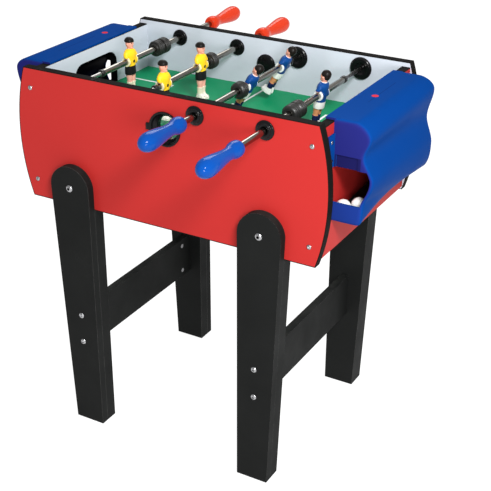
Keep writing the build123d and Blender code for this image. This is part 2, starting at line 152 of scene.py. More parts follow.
def layOver(tree, start, end, mask, colour):
    feed(tree, end["Color"], blendColour(tree, mask, start["Color"], colour))
    feed(tree, end["Mask"], mask)
    return tree


def scuffGroup(look):
    # short hairline scratches, gathered in patches
    inputs = {"Color": white, "Scuff Color": white, "Scale": 60.0, "Amount": 0.2}
    tree, start, end = newGroup("scuffs", "ShaderNodeTree", inputs, {"Color": "Color", "Mask": "Float"})
    place = objectPlace(tree)
    cellInputs = {"Vector": place, "Scale": start["Scale"]}
    cells = addNode(tree, "ShaderNodeTexVoronoi", cellInputs, feature="DISTANCE_TO_EDGE")
    line = spread(tree, cells.outputs["Distance"], 0.0, look["scuffLine"], 1.0, 0.0)
    patch = spread(tree, noise(tree, place, look["patchScale"]), *look["scuffPatch"])
    return layOver(tree, start, end, times(tree, line, patch, start["Amount"]), start["Scuff Color"])


def dustGroup(look):
    # a thin film on what faces up
    inputs = {"Color": white, "Amount": 0.1}
    tree, start, end = newGroup("dust", "ShaderNodeTree", inputs, {"Color": "Color", "Mask": "Float"})
    up = spread(tree, onAxis(tree, surface(tree, "Normal"), "Z"), *look["dustUp"])
    cloud = noise(tree, objectPlace(tree), look["cloudScale"], look["cloudDetail"])
    mask = times(tree, up, spread(tree, cloud, *look["dustCloud"]), start["Amount"])
    return layOver(tree, start, end, mask, look["dustColour"])


def grainGroup():
    # noise drawn out along one direction
    inputs = {"Stretch": Vector((1, 1, 1)), "Scale": 200.0}
    tree, start, end = newGroup("grain", "ShaderNodeTree", inputs, {"Height": "Float"})
    stretch = {0: objectPlace(tree), 1: start["Stretch"]}
    drawn = addNode(tree, "ShaderNodeVectorMath", stretch, operation="MULTIPLY").outputs[0]
    feed(tree, end["Height"], noise(tree, drawn, start["Scale"]))
    return tree


groups = {
    "mottle": mottleGroup(effectLook), "scuffs": scuffGroup(effectLook), "dust": dustGroup(effectLook),
    "grain": grainGroup(),
}


def useGroup(tree, name, inputs):
    return addNode(tree, "ShaderNodeGroup", inputs, node_tree=groups[name]).outputs


plainFinish = {
    "colour": (0.5, 0.5, 0.5), "paint": None, "mottleScale": 22.0, "mottle": 0.12, "rough": 0.4,
    "roughVary": 0.12, "metal": 0.0, "specular": 0.5, "scuff": 0.12, "scuffScale": 55.0,
    "scuffColour": (0.6, 0.6, 0.6), "scuffRough": 0.25, "dust": 0.05, "dustRough": 0.4,
    "stretch": (1, 1, 1), "grainScale": 900.0, "bump": 0.05,
}


def makeFinish(name, **changes):
    # paint, where given, is a function that returns the colour socket of a painted surface
    look = plainFinish | changes
    material = bpy.data.materials.new(name)
    material.use_nodes = True
    tree = material.node_tree
    base = look["paint"](tree) if look["paint"] else (*look["colour"], 1)
    mottled = useGroup(tree, "mottle", {
        "Color": base, "Scale": look["mottleScale"], "Amount": look["mottle"],
    })
    scuffed = useGroup(tree, "scuffs", {
        "Color": mottled["Color"], "Scuff Color": (*look["scuffColour"], 1), "Scale": look["scuffScale"],
        "Amount": look["scuff"],
    })
    dusted = useGroup(tree, "dust", {"Color": scuffed["Color"], "Amount": look["dust"]})
    vary = look["roughVary"] / 2
    rough = spread(tree, mottled["Value"], 0, 1, look["rough"] - vary, look["rough"] + vary)
    rough = maths(tree, "MULTIPLY_ADD", scuffed["Mask"], look["scuffRough"], rough)
    rough = maths(tree, "MULTIPLY_ADD", dusted["Mask"], look["dustRough"], rough)
    grain = useGroup(tree, "grain", {"Stretch": look["stretch"], "Scale": look["grainScale"]})
    bumpInputs = {"Strength": look["bump"], "Distance": mm, "Height": grain["Height"]}
    bump = addNode(tree, "ShaderNodeBump", bumpInputs)
    shaderInputs = {
        "Base Color": dusted["Color"], "Roughness": rough, "Metallic": look["metal"],
        "Specular IOR Level": look["specular"], "Normal": bump.outputs["Normal"],
    }
    for label, value in shaderInputs.items():
        feed(tree, tree.nodes["Principled BSDF"].inputs[label], value)
    return material


def inMm(tree, axis):
    return times(tree, onAxis(tree, objectPlace(tree), axis), 1 / mm)


def faceTurn(tree, axis):
    return maths(tree, "ABSOLUTE", onAxis(tree, surface(tree, "True Normal"), axis))


def gapTo(tree, value, target):
    return maths(tree, "ABSOLUTE", maths(tree, "SUBTRACT", value, target))


def reachFrom(tree, x, y, middleX, middleY):
    squares = [times(tree, gap, gap) for gap in (gapTo(tree, x, middleX), gapTo(tree, y, middleY))]
    return maths(tree, "SQRT", maths(tree, "ADD", *squares))


# cabinet boards: red face outside, pale face inside
boardLook = {
    "red": (0.385, 0.02, 0.018, 1), "pale": (0.56, 0.59, 0.66, 1), "cutEdge": (0.006, 0.006, 0.007, 1),
    "black": (0.009, 0.0095, 0.0092, 1), "arrisHighlight": (0.14, 0.14, 0.135, 1),
}
sideMiddle = (abs(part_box("near_side_panel")[0].y) + abs(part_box("near_side_panel")[1].y)) / 2
endMiddle = (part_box("right_end_panel")[0].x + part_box("right_end_panel")[1].x) / 2


def facePaint(tree, axis, middle):
    out = maths(tree, "GREATER_THAN", maths(tree, "ABSOLUTE", inMm(tree, axis)), middle / mm)
    return blendColour(tree, out, boardLook["pale"], boardLook["red"])


def sidePaint(tree):
    return facePaint(tree, "Y", sideMiddle)


def endPaint(tree):
    cut = maths(tree, "LESS_THAN", faceTurn(tree, "X"), 0.5)
    return blendColour(tree, cut, facePaint(tree, "X", endMiddle), boardLook["cutEdge"])


def blackPaint(tree):
    # painted highlight: a little paler along the eased edges
    return blendColour(tree, attribute(tree, "arrisHighlight"), boardLook["black"], boardLook["arrisHighlight"])


# playing field: printed lines, in millimetres from the middle
fieldLook = {
    "green": (0.002, 0.25, 0.1, 1), "white": (0.8, 0.82, 0.8, 1), "line": 5.0, "soft": 0.6,
    "boxX": 188.0, "boxY": 108.0, "circle": 58.0, "spot": 5.0, "spotSoft": 1.0,
}


def fieldPaint(tree):
    look = fieldLook
    half, soft = look["line"] / 2, look["soft"]
    x, y = (maths(tree, "ABSOLUTE", inMm(tree, axis)) for axis in "XY")

    def near(value, target):
        return spread(tree, gapTo(tree, value, target), half - soft, half + soft, 1.0, 0.0)

    beyondX = maths(tree, "GREATER_THAN", x, look["boxX"] - half)
    withinY = maths(tree, "LESS_THAN", y, look["boxY"] + half)
    reach = reachFrom(tree, x, y, 0.0, 0.0)
    spot = spread(tree, reach, look["spot"], look["spot"] + look["spotSoft"], 1.0, 0.0)
    marks = near(x, 0.0)
    for mark in (
        times(tree, near(x, look["boxX"]), withinY), times(tree, near(y, look["boxY"]), beyondX),
        near(reach, look["circle"]), spot,
    ):
        marks = maths(tree, "MAXIMUM", marks, mark)
    return blendColour(tree, marks, look["green"], look["white"])


# covers: blue, with painted shade on the end walls, in the end-wall recess, along the top crease and over
# the inside, and one plain round red dot on the top of each
coverLook = {
    "blue": (0.002, 0.04, 0.205, 1), "endWallShade": (0.014, 0.016, 0.13, 1), "wallTurn": (0.55, 0.9),
    "trayShade": (0.009, 0.028, 0.18, 1), "trayZ": 640.0, "inside": (0.002, 0.003, 0.008, 1),
    "recess": (0.009, 0.009, 0.065, 1), "recessX": 385.0, "recessZ": (700.0, 727.0),
    "dot": (0.55, 0.03, 0.05, 1), "dotX": 343.0, "leftDotY": 78.0, "rightDotY": -8.0, "dotR": 7.0,
    "dotSoft": 0.4, "creaseShade": (0.001, 0.02, 0.12, 1), "creaseX": 346.0, "creaseY": (-47.0, 83.0),
    "creaseWidth": 0.9, "topBand": 0.5,
}


def coverPaint(tree):
    look = coverLook
    calc = partial(maths, tree)
    signedX, y, z = (inMm(tree, axis) for axis in "XYZ")
    x = calc("ABSOLUTE", signedX)
    side = calc("SIGN", signedX)   # the left cover is the right one turned half round
    along = times(tree, y, side)

    def within(value, low, high):
        return times(tree, calc("GREATER_THAN", value, low), calc("LESS_THAN", value, high))

    # painted shade: faces turned along Y, the end walls, are darker violet-blue, a little less dark below
    # trayZ
    endWallShade = spread(tree, faceTurn(tree, "Y"), *look["wallTurn"])
    wall = blendColour(tree, calc("LESS_THAN", z, look["trayZ"]), look["endWallShade"], look["trayShade"])
    # painted shade: darker still in the recess strip of the end wall
    recess = times(tree, within(z, *look["recessZ"]), within(x, 0.0, look["recessX"]))
    deep = times(tree, recess, endWallShade, calc("LESS_THAN", along, 0.0))
    onTop = calc("GREATER_THAN", z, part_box("right_end_cover")[1].z / mm - look["topBand"])
    # painted shade: a thin dark line along the crease on the top
    width = look["creaseWidth"]
    creaseShade = spread(tree, gapTo(tree, x, look["creaseX"]), 0.3 * width, width, 1.0, 0.0)
    dotY = spread(tree, side, -1.0, 1.0, look["leftDotY"], look["rightDotY"])
    reach = reachFrom(tree, x, y, look["dotX"], dotY)
    dot = spread(tree, reach, look["dotR"] - look["dotSoft"], look["dotR"], 1.0, 0.0)
    colour = blendColour(tree, endWallShade, look["blue"], wall)
    for mask, paint in (
        (deep, "recess"), (times(tree, creaseShade, onTop, within(along, *look["creaseY"])), "creaseShade"),
        # painted shade: the inside of the shell is near-black
        (times(tree, dot, onTop), "dot"), (attribute(tree, "inside"), "inside"),
    ):
        colour = blendColour(tree, mask, colour, look[paint])
    return colour


def playerPaint(tree):
    return attribute(tree, "paint", "Color")


boardFinish = {
    "mottle": 0.07, "mottleScale": 6.0, "rough": 0.45, "roughVary": 0.1, "specular": 0.08, "scuff": 0.1,
    "scuffColour": (0.7, 0.12, 0.1), "grainScale": 700.0, "bump": 0.06, "dust": 0.0,
}
handleFinish = {"specular": 0.12, "mottle": 0.08, "scuff": 0.1, "dust": 0.0}
finishes = {
    "red_board": makeFinish("sideBoard", paint=sidePaint, **boardFinish),
    "end_board": makeFinish("endBoard", paint=endPaint, **boardFinish),
    "black_edging": makeFinish(
        "edgingStrip", colour=(0.008, 0.0072, 0.0066), rough=0.55, specular=0.01, dust=0.0,
        grainScale=500.0, bump=0.1,
    ),
    "green_field": makeFinish(
        "printedField", paint=fieldPaint, mottle=0.1, mottleScale=9.0, rough=0.45, specular=0.1,
        scuff=0.25, scuffColour=(0.03, 0.3, 0.15), dust=0.0, grainScale=1200.0, bump=0.04,
    ),
    "bare_wood": makeFinish(
        "planedSoftwood", colour=(0.55, 0.38, 0.21), mottle=0.5, mottleScale=14.0, rough=0.62,
        stretch=(0.06, 1, 1), grainScale=420.0, bump=0.3, scuff=0.0,
    ),
    "blue_cover": makeFinish(
        "coverPlastic", paint=coverPaint, mottle=0.06, mottleScale=8.0, rough=0.34, roughVary=0.08,
        specular=0.002, scuffColour=(0.02, 0.1, 0.42), grainScale=380.0, bump=0.04, dust=0.0,
    ),
    "ramp_plastic": makeFinish(
        "rampPlastic", colour=(0.012, 0.012, 0.014), rough=0.6, grainScale=600.0, bump=0.1, specular=0.2,
    ),
    "black_plastic": makeFinish(
        "blackMoulding", colour=(0.004, 0.004, 0.0045), rough=0.2, roughVary=0.06, specular=0.15,
        bump=0.06, dust=0.02,
    ),
    "black_board": makeFinish(
        "blackLaminate", paint=blackPaint, mottle=0.3, mottleScale=11.0, rough=0.58, roughVary=0.14,
        specular=0.05, stretch=(1, 1, 0.12), grainScale=650.0, bump=0.16, scuff=0.08,
        scuffColour=(0.08, 0.08, 0.08), dust=0.02,
    ),
    "plated_steel": makeFinish(
        "boltSteel", colour=(0.4, 0.4, 0.41), metal=1.0, rough=0.24, roughVary=0.1, mottle=0.15,
        mottleScale=160.0, scuff=0.2, grainScale=1500.0,
    ),
    "zinc": makeFinish(
        "dullZinc", colour=(0.45, 0.45, 0.46), metal=1.0, rough=0.45, mottle=0.3, mottleScale=120.0,
        bump=0.1,
    ),
    "dark_screw": makeFinish(
        "blackenedScrew", colour=(0.02, 0.02, 0.02), metal=0.6, rough=0.35, mottleScale=300.0,
    ),
    "chrome_tube": makeFinish(
        "chromedTube", colour=(0.27, 0.255, 0.225), metal=1.0, rough=0.16, roughVary=0.06, mottle=0.2,
        mottleScale=60.0, stretch=(1, 0.03, 1), bump=0.03, scuff=0.15, dust=0.0,
    ),
    "steel_core": makeFinish(
        "drawnSteel", colour=(0.45, 0.44, 0.42), metal=1.0, rough=0.26, stretch=(1, 0.03, 1),
    ),
    "red_handle": makeFinish(
        "redHandle", colour=(0.62, 0.042, 0.012), rough=0.12, scuffColour=(0.8, 0.2, 0.12),
        **handleFinish,
    ),
    "blue_handle": makeFinish(
        "blueHandle", colour=(0.0015, 0.048, 0.25), rough=0.1, scuffColour=(0.06, 0.2, 0.52),
        **handleFinish,
    ),
    "black_rubber": makeFinish(
        "blackRubber", colour=(0.011, 0.01, 0.009), rough=0.36, mottle=0.2, grainScale=700.0, bump=0.12,
        dust=0.03,
    ),
    "yellow_player": makeFinish(
        "playerPaint", paint=playerPaint, rough=0.34, specular=0.12, mottle=0.05, mottleScale=120.0,
        scuff=0.05, dust=0.0, grainScale=1400.0, bump=0.03,
    ),
    "white_ball": makeFinish(
        "ballWhite", colour=(0.82, 0.82, 0.8), rough=0.42, mottle=0.05, mottleScale=90.0, scuff=0.2,
        scuffColour=(0.45, 0.45, 0.45), grainScale=800.0, bump=0.06, dust=0.0,
    ),
}
finishes["blue_player"] = finishes["yellow_player"]   # the colours lie on the figures themselves
print("finishes made:", len(finishes))


# small helpers for meshes: pieces are drawn in millimetres and set down in metres
def linked(name, data):
    thing = bpy.data.objects.new(name, data)
    bpy.context.scene.collection.objects.link(thing)
    return thing


def plainMesh(bm, name):
    mesh = bpy.data.meshes.new(name)
    bm.to_mesh(mesh)
    bm.free()
    return mesh


def appliedMesh(thing):
    return bpy.data.meshes.new_from_object(thing.evaluated_get(bpy.context.evaluated_depsgraph_get()))


def settled(thing):
    # the plain mesh that an object's modifiers make of it, in place of the object
    mesh = appliedMesh(thing)
    bpy.data.objects.remove(thing)
    return mesh


def shade(mesh, sharp):
    mesh.shade_smooth()
    mesh.set_sharp_from_angle(angle=math.radians(sharp))


def dress(mesh, finish):
    mesh.materials.clear()
    mesh.materials.append(finishes[finish])


def addPiece(name, mesh, slot, body, replaced=()):
    dress(mesh, slot)
    piece = linked(name, mesh)
    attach(piece, body)
    if replaced:
        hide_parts(*replaced)


def setDown(name, mesh, place, slot, body, replaced=(), sharp=35.0):
    mesh.transform(place @ Matrix.Scale(mm, 4))
    shade(mesh, sharp)
    addPiece(name, mesh, slot, body, replaced)


def setTurned(name, bm, place, slot, body, replaced, sharp=35.0):
    bmesh.ops.recalc_face_normals(bm, faces=bm.faces)
    setDown(name, plainMesh(bm, name), place, slot, body, replaced, sharp)


def pick(look, names):
    return [look[name] for name in names.split()]


def boxMiddle(node):
    low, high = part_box(node)
    return (low + high) / 2


def softened(points, radius, steps=3):
    # rounds the corners of a closed outline of points in a plane
    result = []
    count = len(points)
    for i, point in enumerate(points):
        corner = Vector(point)
        before = Vector(points[i - 1]) - corner
        after = Vector(points[(i + 1) % count]) - corner
        cut = min(radius, 0.45 * before.length, 0.45 * after.length)
        if point[0] < 1e-6 or cut < 1e-6:
            result.append(tuple(corner))
            continue
        first = corner + before.normalized() * cut
        last = corner + after.normalized() * cut
        for k in range(steps + 1):
            t = k / steps
            result.append(tuple((1 - t) ** 2 * first + 2 * t * (1 - t) * corner + t * t * last))
    return result


def turnsOf(count):
    return [2 * math.pi * k / count for k in range(count)]


def lathe(outline, segments, bm=None, place=Matrix.Identity(4)):
    # closed outline of (radius, distance along the rod); points on the axis become poles
    bm = bm or bmesh.new()
    rings = []
    for radius, along in outline:
        turns = [0.0] if radius < 1e-6 else turnsOf(segments)
        spots = [Vector((radius * math.cos(a), along, radius * math.sin(a))) for a in turns]
        rings.append([bm.verts.new(place @ spot) for spot in spots])
    for low, high in zip(rings, rings[1:] + rings[:1]):
        if len(low) == 1 and len(high) == 1:
            continue
        for k in range(segments):
            after = (k + 1) % segments
            corners = [(low, k), (low, after), (high, after), (high, k)]
            bm.faces.new(list(dict.fromkeys(ring[i % len(ring)] for ring, i in corners)))
    return bm


def skinOver(bm, rings):
    # closed body through rings of equal count
    count = len(rings[0])
    for low, high in zip(rings, rings[1:]):
        for k in range(count):
            after = (k + 1) % count
            bm.faces.new((low[k], low[after], high[after], high[k]))
    bm.faces.new(rings[0])
    bm.faces.new(list(reversed(rings[-1])))


def easeEdges(bm, edges, width):
    return bmesh.ops.bevel(
        bm, geom=edges, offset=width, segments=3, profile=0.5, affect="EDGES", clamp_overlap=True,
    )["faces"]


# boards, legs and edging
easing = {"leg": 1.5, "stretcher": 1.2, "edging": 0.5, "edgeTurn": 40.0, "sharp": 50.0, "flat": 1.0}


def roundedBoard(node, slot, width):
    # copy of a board with its sharp edges eased
    bm = bmesh.new()
    bm.from_mesh(nodes[node].data)
    bmesh.ops.remove_doubles(bm, verts=bm.verts, dist=1e-6)
    bmesh.ops.dissolve_limit(bm, angle_limit=math.radians(easing["flat"]), verts=bm.verts, edges=bm.edges)
    turn = math.radians(easing["edgeTurn"])
    edges = [e for e in bm.edges if e.is_manifold and e.calc_face_angle() > turn]
    # the eased faces are marked for the painted highlight of the black boards
    arrisHighlight = bm.faces.layers.float.new("arrisHighlight")
    for face in easeEdges(bm, edges, width * mm):
        face[arrisHighlight] = 1.0
    rough = linked(node + "_rough", plainMesh(bm, node + "_eased"))
    shade(rough.data, easing["sharp"])
    weighted = rough.modifiers.new("weighted", "WEIGHTED_NORMAL")
    weighted.keep_sharp = True
    weighted.weight = 100
    addPiece(node + "_eased", settled(rough), slot, "cabinet", [node])


for name in [n for n in nodes if n.endswith("_leg_plate") or n.endswith("_leg_post")]:
    roundedBoard(name, "black_board", easing["leg"])
for name in ("right_stretcher", "left_stretcher"):
    roundedBoard(name, "black_board", easing["stretcher"])
for name in ("side_panel_edgings", "end_panel_edgings"):
    roundedBoard(name, "black_edging", easing["edging"])
for name, finish in {
    "near_side_panel": "red_board", "far_side_panel": "red_board", "right_end_panel": "end_board",
    "left_end_panel": "end_board", "playing_field": "green_field", "field_battens": "bare_wood",
    "right_ball_ramp": "ramp_plastic", "left_ball_ramp": "ramp_plastic", "barrel_nuts": "zinc",
}.items():
    dress(nodes[name].data, finish)
print("boards eased and painted")


# rods: each is drawn along +Y from the open end of its tube towards the handle
def rodPlace(rod):
    tubeLow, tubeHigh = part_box(rod + "_tube")
    middle = (tubeLow + tubeHigh) / 2
    lean = boxMiddle(rod + "_player_screws") - middle
    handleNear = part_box(rod + "_handle")[0].y < tubeLow.y
    innerEnd = tubeHigh.y if handleNear else tubeLow.y
    swing = math.atan2(lean.z, abs(lean.x))
    facing = Matrix.Rotation(math.pi if handleNear else 0, 4, "Z")
    place = Matrix.Translation((middle.x, innerEnd, middle.z)) @ facing @ Matrix.Rotation(-swing, 4, "Y")
    return place, facing, handleNear, innerEnd


def alongRod(rod, node):
    handleNear, innerEnd = rodPlace(rod)[2:]
    low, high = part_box(node)
    span = (innerEnd - high.y, innerEnd - low.y) if handleNear else (low.y - innerEnd, high.y - innerEnd)
    return span[0] / mm, span[1] / mm


tubeLook = {"outer": 6.5, "inner": 5.0, "rolled": 0.7, "segments": 48}


def addTube(rod):
    inner, outer = pick(tubeLook, "inner outer")
    start, end = alongRod(rod, rod + "_tube")
    outline = [(inner, start), (outer, start), (outer, end), (inner, end)]
    bm = lathe(softened(outline, tubeLook["rolled"]), tubeLook["segments"])
    setTurned(rod + "_chromed", bm, rodPlace(rod)[0], "chrome_tube", rod, [rod + "_tube"])


coreLook = {"radius": 4.0, "headRadius": 4.95, "headLength": 12.0, "chamfer": 0.6, "segments": 36}


def addCore(rod):
    radius, head = pick(coreLook, "radius headRadius")
    start, end = alongRod(rod, rod + "_core")
    neck = end - coreLook["headLength"]
    outline = [(0, start), (radius, start), (radius, neck), (head, neck), (head, end), (0, end)]
    bm = lathe(softened(outline, coreLook["chamfer"], 2), coreLook["segments"])
    setTurned(rod + "_bar", bm, rodPlace(rod)[0], "steel_core", rod + "_inner", [rod + "_core"])


def smoothCurve(points, runs, steps=12):
    # smooth curve through the points, leaving each in the direction given for it
    curve = []
    for (p, q), (a, b) in zip(zip(points, points[1:]), zip(runs, runs[1:])):
        start, stop = Vector(p), Vector(q)
        length = (stop - start).length
        for k in range(steps):
            t = k / steps
            curve.append(
                (2 * t ** 3 - 3 * t ** 2 + 1) * start + (t ** 3 - 2 * t ** 2 + t) * length * Vector(a)
                + (3 * t ** 2 - 2 * t ** 3) * stop + (t ** 3 - t ** 2) * length * Vector(b)
            )
    return [tuple(point) for point in curve + [Vector(points[-1])]]


handleLook = {
    "bore": 6.6, "mouth": 11.0, "collar": (16.0, 13.0), "waist": (12.0, 36.0), "grip": (18.0, 104.0),
    "steps": 20, "runs": ((1, 0.3), (0, 1), (0, 1), (0, 1), (-1.2, 0)), "play": 1.0, "segments": 64,
    "sharp": 50.0,
}


def addHandle(rod, finish):
    # radius and distance from the inner end: mouth, round collar, waist, swelling grip and round end
    look = handleLook
    start, end = alongRod(rod, rod + "_handle")
    stations = [(look["mouth"], start)]
    stations += [(radius, start + along) for radius, along in (look["collar"], look["waist"], look["grip"])]
    curve = smoothCurve(stations + [(0, end)], look["runs"], look["steps"])
    boreEnd = alongRod(rod, rod + "_tube")[1] + look["play"]
    outline = [(look["bore"], start)] + curve + [(0, boreEnd), (look["bore"], boreEnd)]
    bm = lathe(outline, look["segments"])
    setTurned(rod + "_grip", bm, rodPlace(rod)[0], finish, rod, [rod + "_handle"], look["sharp"])


stopLook = {
    "bore": 6.6, "neck": 11.0, "neckLength": 4.0, "barrel": 15.8, "length": 24.0, "soft": 1.2,
    "end": 12.5, "taper": 2.6, "segments": 64, "ribs": 3, "ribPitch": 6.0, "rib": 2.3, "ribSunk": 0.4,
    "ringSides": 56, "beadSides": 10, "cap": 7.5, "capLength": 8.0, "capFront": 4.0, "capGuide": 4.1,
    "capSoft": 0.9, "capSegments": 48,
}


def setOnPoints(tree, start, end, inputs):
    # one copy for each of the piece's own points
    spots = geometry(tree, "InstanceOnPoints", {"Points": start["Geometry"], **inputs}, "Instances")
    solid = geometry(tree, "RealizeInstances", {"Geometry": spots})
    dressed = geometry(tree, "SetMaterial", {"Geometry": solid, "Material": start["Material"]})
    feed(tree, end["Geometry"], dressed)
    return tree


def ribTree():
    # equal rings set along the rod, in one row for each bumper
    inputs = {
        "Geometry": None, "Count": 3, "Pitch": 3.0, "Ring Radius": 18.0, "Rib Radius": 1.0, "Material": None,
    }
    tree, start, end = newGroup("bumperRibs", "GeometryNodeTree", inputs, {"Geometry": "Geometry"})

    def circle(sides, radius):
        return geometry(tree, "CurvePrimitiveCircle", {"Resolution": sides, "Radius": radius}, "Curve")

    path = circle(stopLook["ringSides"], start["Ring Radius"])
    bead = circle(stopLook["beadSides"], start["Rib Radius"])
    sweep = geometry(tree, "CurveToMesh", {"Curve": path, "Profile Curve": bead}, "Mesh")
    ring = geometry(tree, "Transform", {"Geometry": sweep, "Rotation": (math.pi / 2, 0, 0)})
    offset = joinUp(tree, Y=start["Pitch"])
    row = geometry(tree, "MeshLine", {"Count": start["Count"], "Offset": offset}, "Mesh")
    rings = geometry(tree, "InstanceOnPoints", {"Points": row, "Instance": ring}, "Instances")
    return setOnPoints(tree, start, end, {"Instance": rings})


def growPiece(name, tree, values, points, facings, place, slot, body, replaced=(), sharp=35.0):
    # runs a geometry tree on a mesh of bare points and sets down the plain mesh that it makes
    seed = bpy.data.meshes.new(name)
    seed.from_pydata(points, [], [])
    if facings:
        layer = seed.attributes.new("facing", "FLOAT_VECTOR", "POINT")
        for item, facing in zip(layer.data, facings):
            item.vector = facing
    holder = linked(name + "_points", seed)
    modifier = holder.modifiers.new(name, "NODES")
    modifier.node_group = tree
    sockets = {item.name: item.identifier for item in tree.interface.items_tree if item.in_out == "INPUT"}
    for label, value in {**values, "Material": finishes[slot]}.items():
        modifier[sockets[label]] = value
    setDown(name, settled(holder), place, slot, body, replaced, sharp)


ribs = ribTree()


def addStops(rod, count):
    look = stopLook
    bore, neck, barrel, guide, cap = pick(look, "bore neck barrel capGuide cap")
    start, end = alongRod(rod, rod + "_stops")
    front, back = start + look["capFront"], start + look["capLength"]
    outline = [(guide, start), (cap, start), (cap, back), (bore, back), (bore, front), (guide, front)]
    bm = lathe(softened(outline, look["capSoft"]), look["capSegments"])
    rowStarts = []
    for k in range(count):
        base = end - look["length"] * (count - k)
        step, tip = base + look["neckLength"], base + look["length"]
        shoulder = tip - look["taper"]
        outline = [
            (bore, base), (neck, base), (neck, step), (barrel, step), (barrel, shoulder),
            (look["end"], tip), (bore, tip),
        ]
        lathe(softened(outline, look["soft"], 4), look["segments"], bm)
        rowStarts.append((0, (step + shoulder - look["ribPitch"] * (look["ribs"] - 1)) / 2, 0))
    place = rodPlace(rod)[0]
    setTurned(rod + "_bumpers", bm, place, "black_rubber", rod, [rod + "_stops"])
    values = {
        "Count": look["ribs"], "Pitch": look["ribPitch"],
        "Ring Radius": barrel - look["ribSunk"] * look["rib"], "Rib Radius": look["rib"],
    }
    growPiece(rod + "_bumper_ribs", ribs, values, rowStarts, None, place, "black_rubber", rod)


for rod, stops in zip(rods, (2, 1, 1, 2)):
    addTube(rod)
    addCore(rod)
    addHandle(rod, "red_handle" if rod.startswith("yellow") else "blue_handle")
    addStops(rod, stops)
print("rods turned")


# bushes, sockets, ball entry and plug in the side panels
wallLook = {
    "bushBore": 6.6, "boreMouth": 2.5, "boreDepth": 2.0, "barrel": 12.0, "flange": 19.0, "flangeT": 3.0,
    "hub": 13.0, "hubFoot": 1.0, "hubT": 7.0, "inside": 6.0, "nut": 18.0, "nutT": 5.0, "nutSlope": 2.0,
    "socket": 24.0, "socketT": 6.0, "slope": 3.0, "dish": 13.0, "dishFloor": 2.0, "socketBore": 4.1,
    "socketDepth": 10.0, "coreEnd": 7.5, "soft": 1.0, "bushSegments": 56, "socketSegments": 64,
}
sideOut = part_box("far_side_panel")[1].y / mm
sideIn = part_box("far_side_panel")[0].y / mm


def addOnWalls(node, outlines, segments):
    # the same turned parts where each rod meets a wall
    bm = bmesh.new()
    for rod in rods:
        place, facing = rodPlace(rod)[:2]
        x, _, z = place.translation / mm
        for outline in outlines:
            lathe(softened(outline, wallLook["soft"]), segments, bm, Matrix.Translation((x, 0, z)) @ facing)
    setTurned(node + "_turned", bm, Matrix.Identity(4), "black_plastic", "cabinet", [node])


def addBushes(node):
    look = wallLook
    bore, barrel, flange, hub, nut = pick(look, "bushBore barrel flange hub nut")
    inner, nutEnd, tip = sideIn - look["inside"], sideIn - look["nutT"], sideOut + look["hubT"]
    body = [
        (bore, inner), (barrel, inner), (barrel, sideOut), (flange, sideOut),
        (flange, sideOut + look["flangeT"]), (hub + look["hubFoot"], sideOut + 1.4 * look["flangeT"]),
        (hub, tip), (bore + look["boreMouth"], tip), (bore, tip - look["boreDepth"]),
    ]
    ring = [
        (barrel, nutEnd), (nut - look["nutSlope"], nutEnd), (nut, sideIn - 0.5 * look["nutT"]),
        (nut, sideIn), (barrel, sideIn),
    ]
    addOnWalls(node, [body, ring], look["bushSegments"])


def addSockets(node):
    look = wallLook
    bore, barrel, socket, dish = pick(look, "socketBore barrel socket dish")
    wall = -sideIn
    back, face, floor, coreEnd = (
        wall - look["socketDepth"], wall + look["socketT"], wall + look["dishFloor"],
        wall - look["coreEnd"],
    )
    outline = [
        (0, back), (barrel, back), (barrel, wall), (socket, wall), (socket, wall + 0.5 * look["socketT"]),
        (socket - look["slope"], face), (dish, face), (dish - look["slope"], floor), (bore, floor),
        (bore, coreEnd), (0, coreEnd),
    ]
    addOnWalls(node, [outline], look["socketSegments"])


entryLook = {
    "flange": 35.0, "flangeT": 3.0, "mouth": 31.0, "funnel": 2.0, "cup": 33.0, "cupDepth": 8.0,
    "throatStep": 1.0, "barrel": 28.0, "throat": 23.0, "inside": 3.0, "lug": 7.0, "lugReach": 42.0,
    "lugEase": 0.9, "soft": 1.1, "segments": 72,
}


def addEntry(node):
    look = entryLook
    mouth, flange, cup, barrel, throat = pick(look, "mouth flange cup barrel throat")
    front, depth, inner = -look["flangeT"], look["cupDepth"], sideOut - sideIn + look["inside"]
    outline = [
        (mouth, front), (flange, front), (flange, 0), (cup, 0), (cup, depth), (barrel, depth),
        (barrel, inner), (throat, inner), (throat, depth + look["throatStep"]),
        (mouth - look["funnel"], look["funnel"]),
    ]
    bm = lathe(softened(outline, look["soft"]), look["segments"])
    lug = bmesh.ops.create_cube(bm, size=1)["verts"]
    width = look["lugReach"] - cup
    bmesh.ops.scale(bm, vec=(width, look["flangeT"], 2 * look["lug"]), verts=lug)
    bmesh.ops.translate(bm, vec=(-cup - width / 2, front / 2, 0), verts=lug)
    easeEdges(bm, list({e for v in lug for e in v.link_edges}), look["lugEase"])
    place = Matrix.Translation((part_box(node)[1].x - flange * mm, -sideOut * mm, boxMiddle(node).z))
    setTurned(node + "_funnel", bm, place, "black_plastic", "cabinet", [node])


plugLook = {"dome": 8.0, "rim": 1.6, "barrel": 18.0, "steps": 12, "segments": 64}


def addPlug(node):
    # domed plug pressed into the far wall from inside
    look = plugLook
    steps, barrel, rim = pick(look, "steps barrel rim")
    low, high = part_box(node)
    radius = (high.x - low.x) / 2 / mm
    outline = [(0, sideOut), (barrel, sideOut), (barrel, sideIn), (radius, sideIn)]
    for k in range(steps + 1):
        angle = math.pi / 2 * k / steps
        rise = rim + (look["dome"] - rim) * math.sin(angle)
        outline.append((radius * math.cos(angle) if k < steps else 0, sideIn - rise))
    place = Matrix.Translation(((low.x + high.x) / 2, 0, (low.z + high.z) / 2))
    setTurned(node + "_domed", lathe(outline, look["segments"]), place, "black_plastic", "cabinet", [node])


addBushes("rod_bushes")
addSockets("rod_sockets")
addEntry("near_ball_entry")
addPlug("far_hole_plug")
print("wall fittings turned")


